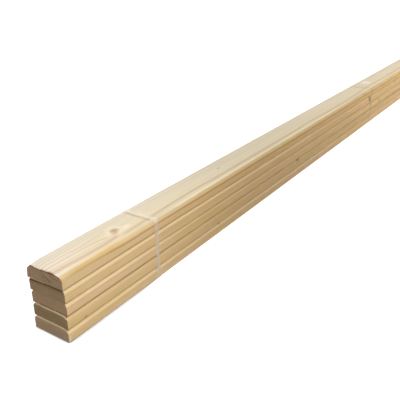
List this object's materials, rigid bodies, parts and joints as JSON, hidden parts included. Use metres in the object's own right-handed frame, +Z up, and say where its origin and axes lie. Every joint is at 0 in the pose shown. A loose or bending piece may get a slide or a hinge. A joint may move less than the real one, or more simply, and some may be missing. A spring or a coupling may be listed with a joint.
{
  "type": "bundle of planed battens",
  "caption": "Long bundle of planed softwood battens with rounded upper edges, stacked flat in one column and bound by narrow clear plastic straps, ready to store, carry or cut.",
  "frame": {"origin": "on the floor, under the middle of the bundle's length and width", "axes": "+X along the battens from the near end to the far end, +Y across the stack towards the straps' welded joints, +Z up"},
  "size_m": [2.1024, 0.06, 0.0914],
  "materials": {
    "planed_softwood": "planed, unfinished",
    "clear_strap": "satin, translucent"
  },
  "bodies": {
    "root": {"batten_1": "planed_softwood", "batten_2": "planed_softwood", "batten_3": "planed_softwood", "batten_4": "planed_softwood", "batten_5": "planed_softwood", "strap_near_end": "clear_strap", "strap_middle": "clear_strap", "strap_far_end": "clear_strap"}
  },
  "joints": []
}
